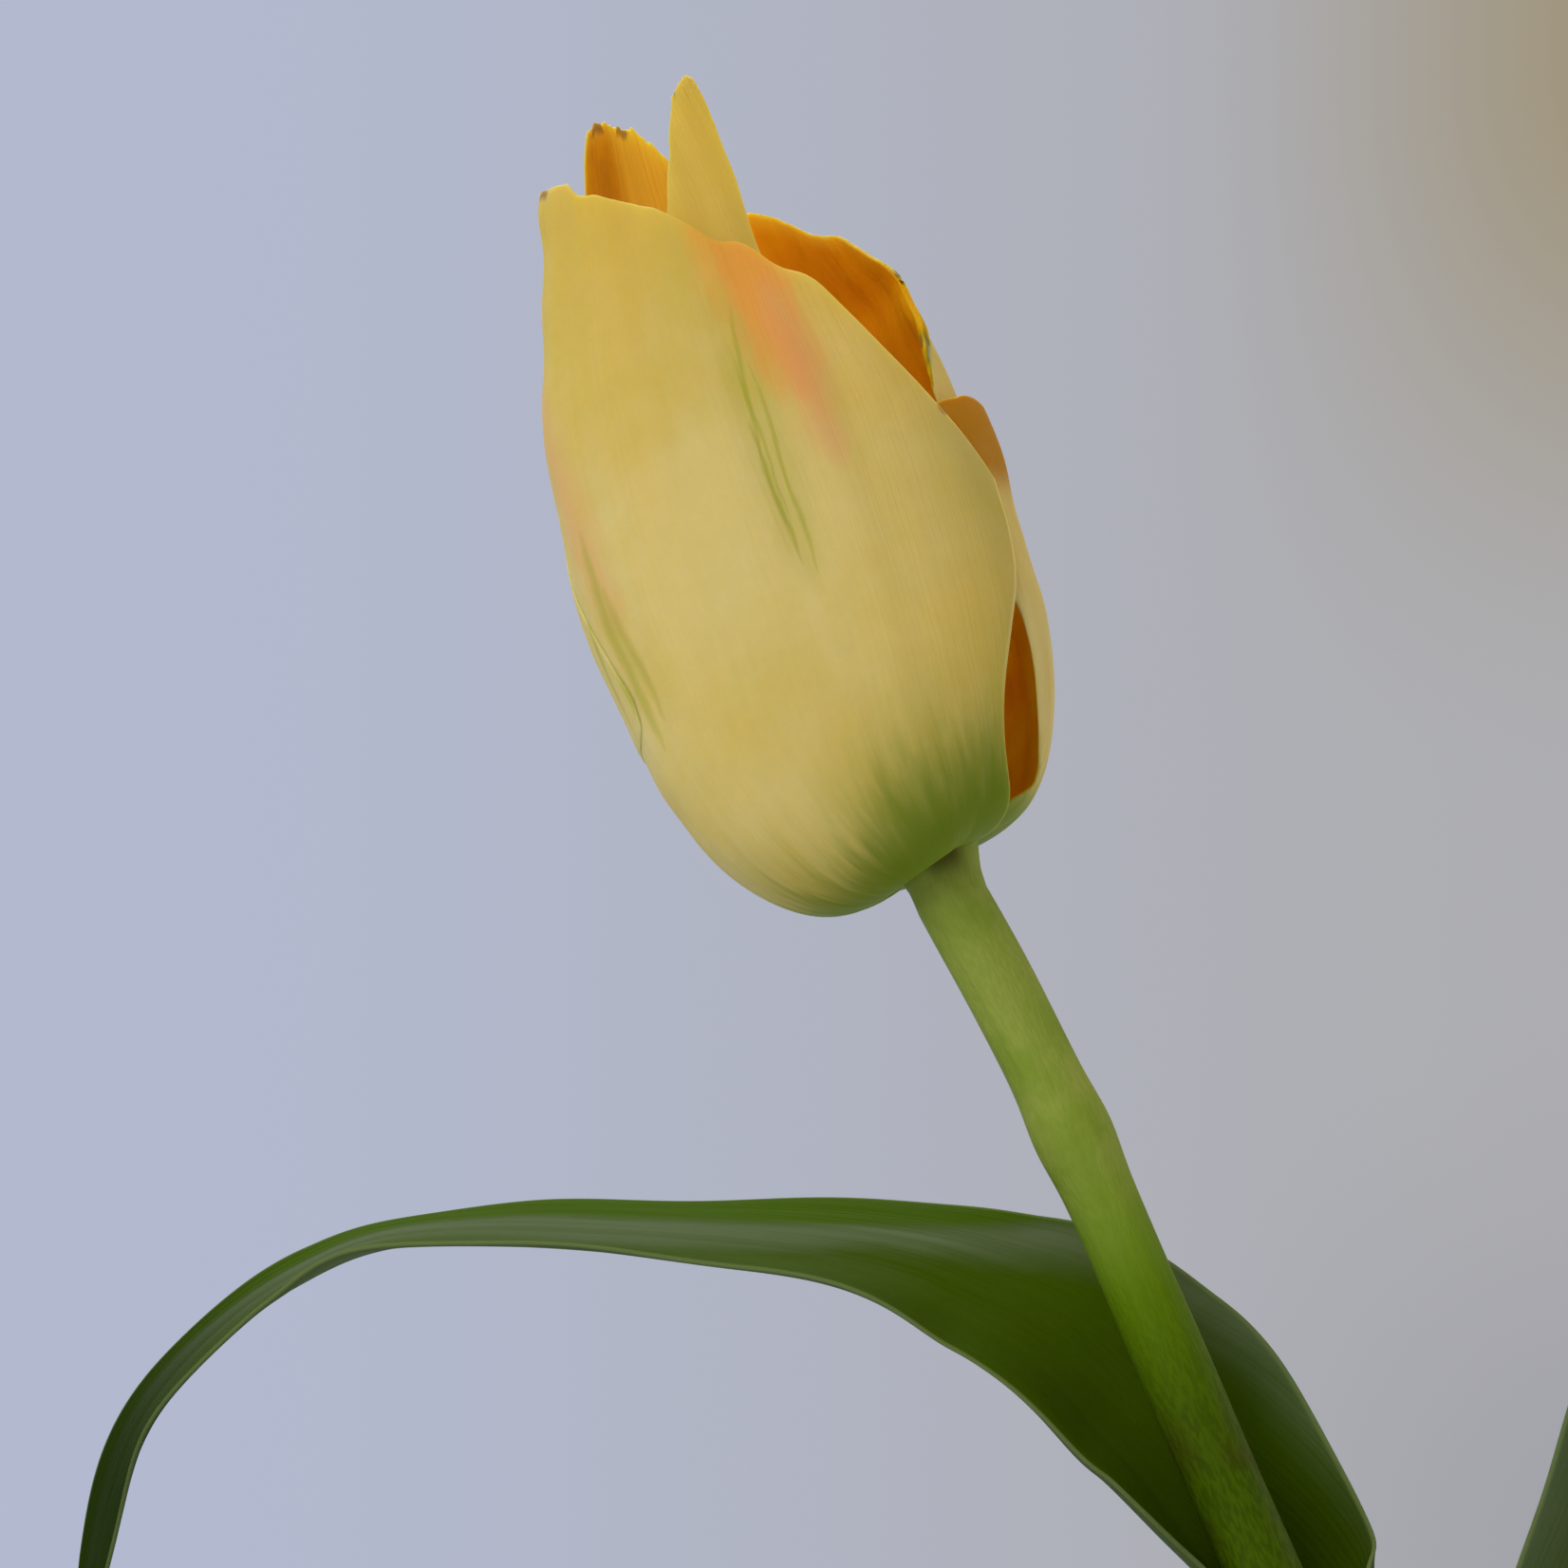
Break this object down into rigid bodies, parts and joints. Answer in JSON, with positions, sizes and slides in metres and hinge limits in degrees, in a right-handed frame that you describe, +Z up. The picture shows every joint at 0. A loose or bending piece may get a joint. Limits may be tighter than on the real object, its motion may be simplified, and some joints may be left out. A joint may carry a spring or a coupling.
{
  "type": "tulip in vase",
  "caption": "Closed yellow tulip on a leaning cut stem with long arching leaves, standing in water in a plain round glazed vase.",
  "frame": {"origin": "centre of the vase's flat underside, on the table", "axes": "+Z up, the bloom faces -Y, the stem leans towards -X"},
  "size_m": [0.212, 0.0868, 0.2945],
  "materials": {
    "glaze": "glossy glaze",
    "clear_water": "clear water",
    "stem_green": "satin plant skin",
    "leaf_green": "waxy leaf",
    "petal_yellow": "soft petal",
    "pollen_yellow": "dusty pollen"
  },
  "bodies": {
    "root": {"vase": "glaze", "water": "clear_water", "stem": "stem_green", "leaf_arching": "leaf_green", "leaf_right": "leaf_green", "petal_outer_front": "petal_yellow", "petal_outer_left": "petal_yellow", "petal_outer_right": "petal_yellow", "petal_inner_front": "petal_yellow", "petal_inner_back": "petal_yellow", "petal_inner_left": "petal_yellow", "flower_centre": "pollen_yellow"}
  },
  "joints": []
}
